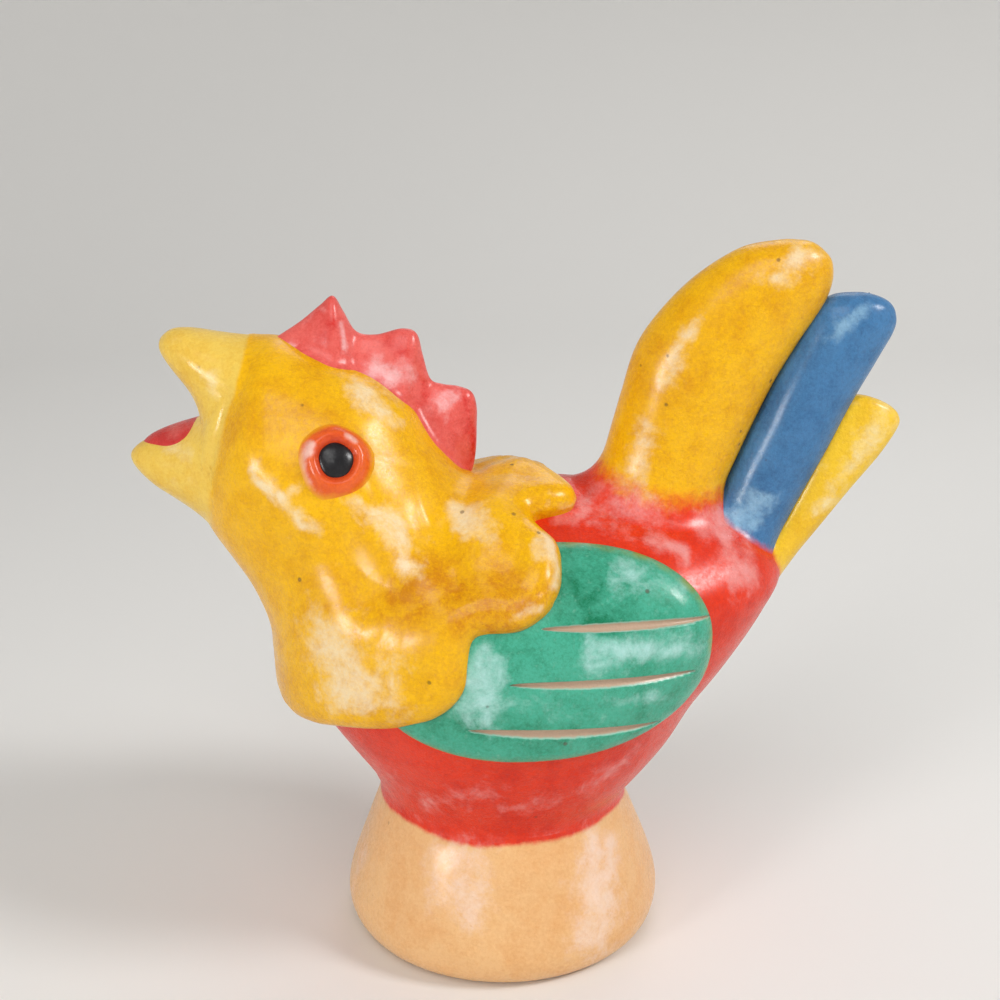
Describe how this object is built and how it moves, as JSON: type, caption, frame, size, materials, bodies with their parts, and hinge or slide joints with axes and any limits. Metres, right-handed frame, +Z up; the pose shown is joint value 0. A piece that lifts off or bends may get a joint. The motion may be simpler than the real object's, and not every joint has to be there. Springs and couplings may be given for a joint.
{
  "type": "pottery bird figurine",
  "caption": "Painted earthenware rooster with an open beak, a lobed neck cape, grooved wings and upright tail plumes, standing on a hollow flared foot as a table ornament.",
  "frame": {"origin": "middle of the bounding box, on the surface that the foot stands on", "axes": "the bird faces -X, its tail is towards +X, its left side is towards -Y, and +Z is up"},
  "size_m": [0.181, 0.091, 0.1723],
  "materials": {
    "bare_clay": "bare fired terracotta, waxed",
    "red_paint": "red paint on fired clay, waxed",
    "yellow_paint": "ochre yellow paint on fired clay, waxed",
    "pale_yellow_paint": "thin pale yellow paint on fired clay, waxed",
    "tongue_paint": "red paint on fired clay, waxed",
    "comb_paint": "pinkish red paint on fired clay, waxed",
    "orange_paint": "orange paint on fired clay, waxed",
    "black_paint": "glossy black paint on fired clay",
    "green_paint": "green paint on fired clay, waxed, worn in the grooves",
    "blue_paint": "blue paint on fired clay, waxed"
  },
  "bodies": {
    "root": {"foot": "bare_clay", "body": "red_paint", "cape": "yellow_paint", "head": "yellow_paint", "beak_upper": "pale_yellow_paint", "beak_lower": "pale_yellow_paint", "tongue": "tongue_paint", "comb": "comb_paint", "eye_ring_left": "orange_paint", "eye_ring_right": "orange_paint", "pupil_left": "black_paint", "pupil_right": "black_paint", "wing_left": "green_paint", "wing_right": "green_paint", "tail_plume_front": "yellow_paint", "tail_plume_middle": "blue_paint", "tail_plume_rear": "yellow_paint"}
  },
  "joints": []
}
